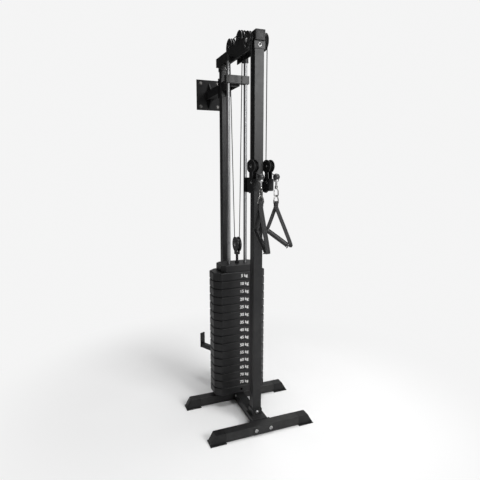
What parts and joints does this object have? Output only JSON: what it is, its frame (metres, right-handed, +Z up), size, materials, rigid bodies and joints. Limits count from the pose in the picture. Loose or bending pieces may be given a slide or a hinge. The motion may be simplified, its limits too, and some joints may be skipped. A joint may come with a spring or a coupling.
{
  "type": "wall pulley weight stack",
  "caption": "Wall-fixed pulley trainer: plate stack on guide rods, top sheaves and two swivelling pulley heads with stirrup handles.",
  "frame": {"origin": "on the floor, in the middle of the outline seen from above", "axes": "+Z up, +X to the right seen from the front, the handles are on the -Y side and the wall plate on the +Y side"},
  "size_m": [0.6646, 0.9808, 2.143],
  "materials": {
    "coated_steel": "satin",
    "plate_paint": "satin",
    "chromed_steel": "polished",
    "sheave_plastic": "gloss",
    "cap_plastic": "matte",
    "strap_webbing": "matte",
    "grip_rubber": "matte",
    "line_coat": "satin"
  },
  "bodies": {
    "frame": {"front_beam": "coated_steel", "front_beam_cap_left": "cap_plastic", "front_beam_cap_right": "cap_plastic", "rear_beam": "coated_steel", "rear_beam_cap_left": "cap_plastic", "rear_beam_cap_right": "cap_plastic", "base_rail": "coated_steel", "front_upright": "coated_steel", "rear_upright": "coated_steel", "top_beam": "coated_steel", "swivel_bracket": "coated_steel", "guide_crossbar": "coated_steel", "wall_bracket": "coated_steel", "guide_rod_left": "chromed_steel", "guide_rod_right": "chromed_steel", "stack_base_block": "plate_paint", "left_strand": "line_coat", "right_strand": "line_coat", "left_line": "line_coat", "right_line": "line_coat"},
    "stack": {"weight_plate_05": "plate_paint", "weight_plate_10": "plate_paint", "weight_plate_15": "plate_paint", "weight_plate_20": "plate_paint", "weight_plate_25": "plate_paint", "weight_plate_30": "plate_paint", "weight_plate_35": "plate_paint", "weight_plate_40": "plate_paint", "weight_plate_45": "plate_paint", "weight_plate_50": "plate_paint", "weight_plate_55": "plate_paint", "weight_plate_60": "plate_paint", "weight_plate_65": "plate_paint", "weight_plate_70": "plate_paint", "weight_plate_75": "plate_paint", "head_plate": "plate_paint", "lift_yoke": "sheave_plastic", "lift_loop": "line_coat"},
    "pin": {"selector_pin": "sheave_plastic"},
    "lift_wheel": {"lift_sheave": "sheave_plastic"},
    "rear_top_wheel": {"rear_top_sheave": "sheave_plastic"},
    "mid_top_wheel": {"mid_top_sheave": "sheave_plastic"},
    "front_top_wheel_left": {"front_top_sheave_left": "sheave_plastic"},
    "front_top_wheel_right": {"front_top_sheave_right": "sheave_plastic"},
    "left_head": {"left_swivel_head": "coated_steel", "left_head_line": "line_coat"},
    "left_head_wheel": {"left_head_sheave": "sheave_plastic"},
    "left_line_end": {"left_ball_stopper": "grip_rubber"},
    "left_hook": {"left_snap_hook": "chromed_steel"},
    "left_gate": {"left_hook_gate": "chromed_steel"},
    "left_handle": {"left_stirrup": "strap_webbing"},
    "left_hand_grip": {"left_grip": "grip_rubber"},
    "right_head": {"right_swivel_head": "coated_steel", "right_head_line": "line_coat"},
    "right_head_wheel": {"right_head_sheave": "sheave_plastic"},
    "right_line_end": {"right_ball_stopper": "grip_rubber"},
    "right_hook": {"right_snap_hook": "chromed_steel"},
    "right_gate": {"right_hook_gate": "chromed_steel"},
    "right_handle": {"right_stirrup": "strap_webbing"},
    "right_hand_grip": {"right_grip": "grip_rubber"}
  },
  "joints": [
    {"name": "stack_lift", "type": "slide", "parent": "frame", "child": "stack", "axis": [0, 0, 1], "range_m": [0, 0.8], "deforming": ["left_strand", "right_strand"]},
    {"name": "pin_pull", "type": "slide", "parent": "stack", "child": "pin", "axis": [0, 1, 0], "range_m": [0, 0.08]},
    {"name": "lift_wheel_spin", "type": "hinge", "parent": "stack", "child": "lift_wheel", "pos_m": [0, -0.03659, 0.985], "axis": [1, 0, 0], "continuous": true},
    {"name": "rear_top_wheel_spin", "type": "hinge", "parent": "frame", "child": "rear_top_wheel", "pos_m": [0, 0.01541, 2.098], "axis": [1, 0, 0], "continuous": true},
    {"name": "mid_top_wheel_spin", "type": "hinge", "parent": "frame", "child": "mid_top_wheel", "pos_m": [0, -0.13959, 2.098], "axis": [1, 0, 0], "continuous": true},
    {"name": "front_top_wheel_left_spin", "type": "hinge", "parent": "frame", "child": "front_top_wheel_left", "pos_m": [-0.043, -0.30259, 2.047], "axis": [1, 0, 0], "continuous": true},
    {"name": "front_top_wheel_right_spin", "type": "hinge", "parent": "frame", "child": "front_top_wheel_right", "pos_m": [0.043, -0.30259, 2.047], "axis": [1, 0, 0], "continuous": true},
    {"name": "left_head_swivel", "type": "hinge", "parent": "frame", "child": "left_head", "pos_m": [-0.043, -0.34059, 1.343], "axis": [0, 0, 1], "range_deg": [-90, 2]},
    {"name": "left_head_wheel_spin", "type": "hinge", "parent": "left_head", "child": "left_head_wheel", "pos_m": [-0.03782, -0.35991, 1.437], "axis": [0.9659, 0.2588, 0], "continuous": true},
    {"name": "left_pull", "type": "slide", "parent": "left_head", "child": "left_line_end", "axis": [0.2588, -0.9659, 0], "range_m": [0, 0.8]},
    {"name": "left_hook_swivel", "type": "hinge", "parent": "left_line_end", "child": "left_hook", "pos_m": [-0.02126, -0.42173, 1.3402], "axis": [0, 0, 1], "range_deg": [-30, 60]},
    {"name": "left_gate_hinge", "type": "hinge", "parent": "left_hook", "child": "left_gate", "pos_m": [-0.02258, -0.41425, 1.2968], "axis": [0.9848, 0.1736, 0], "range_deg": [0, 25], "stiffness_Nm_per_rad": 0.03, "springref_deg": -17.19},
    {"name": "left_handle_swing", "type": "hinge", "parent": "left_hook", "child": "left_handle", "pos_m": [-0.02126, -0.42173, 1.2925], "axis": [-0.9848, -0.1736, 0], "range_deg": [-3, 85]},
    {"name": "left_grip_spin", "type": "hinge", "parent": "left_handle", "child": "left_hand_grip", "pos_m": [-0.02056, -0.42567, 1.0675], "axis": [0.1189, -0.674, -0.7291], "continuous": true},
    {"name": "right_head_swivel", "type": "hinge", "parent": "frame", "child": "right_head", "pos_m": [0.043, -0.34059, 1.343], "axis": [0, 0, 1], "range_deg": [-14, 61]},
    {"name": "right_head_wheel_spin", "type": "hinge", "parent": "right_head", "child": "right_head_wheel", "pos_m": [0.04784, -0.36, 1.437], "axis": [0.9703, 0.2419, 0], "continuous": true},
    {"name": "right_pull", "type": "slide", "parent": "right_head", "child": "right_line_end", "axis": [0.2419, -0.9703, 0], "range_m": [0, 0.8]},
    {"name": "right_hook_swivel", "type": "hinge", "parent": "right_line_end", "child": "right_hook", "pos_m": [0.06332, -0.4221, 1.3402], "axis": [0, 0, 1], "range_deg": [-60, 60]},
    {"name": "right_gate_hinge", "type": "hinge", "parent": "right_hook", "child": "right_gate", "pos_m": [0.05674, -0.4183, 1.2968], "axis": [0.5, 0.866, 0], "range_deg": [0, 25], "stiffness_Nm_per_rad": 0.03, "springref_deg": -17.19},
    {"name": "right_handle_swing", "type": "hinge", "parent": "right_hook", "child": "right_handle", "pos_m": [0.06332, -0.4221, 1.2925], "axis": [-0.5, -0.866, 0], "range_deg": [-3, 85]},
    {"name": "right_grip_spin", "type": "hinge", "parent": "right_handle", "child": "right_hand_grip", "pos_m": [0.07025, -0.4261, 1.0775], "axis": [0.7021, -0.4053, -0.5855], "continuous": true}
  ],
  "couplings": [
    {"joint": "rear_top_wheel_spin", "follows": "stack_lift", "rad_per_m": 25},
    {"joint": "mid_top_wheel_spin", "follows": "stack_lift", "rad_per_m": 25},
    {"joint": "front_top_wheel_left_spin", "follows": "stack_lift", "rad_per_m": 26.316},
    {"joint": "front_top_wheel_right_spin", "follows": "stack_lift", "rad_per_m": 26.316},
    {"joint": "left_head_wheel_spin", "follows": "stack_lift", "rad_per_m": -50},
    {"joint": "left_pull", "follows": "stack_lift", "ratio": 1},
    {"joint": "right_head_wheel_spin", "follows": "stack_lift", "rad_per_m": -50},
    {"joint": "right_pull", "follows": "stack_lift", "ratio": 1}
  ]
}
